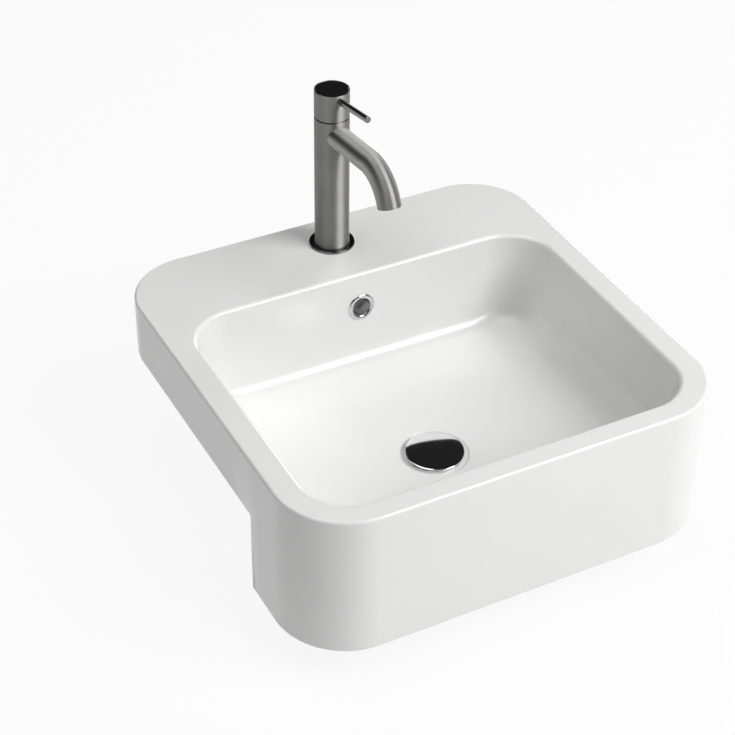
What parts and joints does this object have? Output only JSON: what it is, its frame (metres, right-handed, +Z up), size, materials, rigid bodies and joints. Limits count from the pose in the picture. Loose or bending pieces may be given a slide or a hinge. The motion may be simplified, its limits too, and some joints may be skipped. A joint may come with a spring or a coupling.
{
  "type": "semi recessed basin",
  "caption": "Square semi-recessed washbasin with rounded corners, a deep apron, a single-lever tap with a curved spout and a push-to-open waste.",
  "frame": {"origin": "on the counter-top plane, under the middle of the rear wall's resting strip", "axes": "+X to the right as seen by someone at the basin, +Y towards the wall behind it, +Z up"},
  "size_m": [0.5, 0.5, 0.4278],
  "materials": {
    "glaze": "gloss white glaze",
    "chrome": "polished chrome plate",
    "polished_steel": "polished",
    "brushed_steel": "brushed along its length",
    "fixing_steel": "plain machined",
    "brass": "machined",
    "grey_plastic": "moulded",
    "disc_ceramic": "lapped",
    "rubber": "matt",
    "black_gloss": "gloss"
  },
  "bodies": {
    "fixed": {"basin_body": "glaze", "overflow_ring": "chrome", "base_flange": "polished_steel", "tap_core": "brass", "tap_body": "brushed_steel", "spout_tube": "brushed_steel", "aerator_ring": "chrome", "aerator_core": "grey_plastic", "cartridge_housing": "grey_plastic", "fixed_disc": "disc_ceramic", "cartridge_nut": "brass", "fixing_stud": "fixing_steel", "clamp_rubber": "rubber", "clamp_plate": "fixing_steel", "fixing_nut": "brass", "waste_body": "chrome", "waste_seal": "rubber", "waste_nut": "chrome", "click_cartridge": "grey_plastic"},
    "swivel": {"lever_guide": "grey_plastic", "lever_axle": "fixing_steel"},
    "handle": {"lever_stem": "fixing_steel", "handle_cap": "brushed_steel", "handle_top_disc": "black_gloss", "handle_screw": "fixing_steel", "lever_pin": "polished_steel"},
    "disc": {"moving_disc": "disc_ceramic"},
    "plug": {"plug_cap": "chrome", "plug_seal": "rubber", "plug_stem": "fixing_steel"}
  },
  "joints": [
    {"name": "handle_turn", "type": "hinge", "parent": "fixed", "child": "swivel", "pos_m": [0, -0.044, 0.224], "axis": [0, 0, 1], "range_deg": [-45, 45]},
    {"name": "handle_lift", "type": "hinge", "parent": "swivel", "child": "handle", "pos_m": [0, -0.044, 0.224], "axis": [-1, 0, 0], "range_deg": [0, 14]},
    {"name": "disc_slide", "type": "slide", "parent": "swivel", "child": "disc", "axis": [0, -1, 0], "range_m": [0, 0.003]},
    {"name": "plug_lift", "type": "slide", "parent": "fixed", "child": "plug", "axis": [0, 0, 1], "range_m": [0, 0.009]}
  ],
  "couplings": [
    {"joint": "disc_slide", "follows": "handle_lift", "m_per_rad": 0.012}
  ]
}
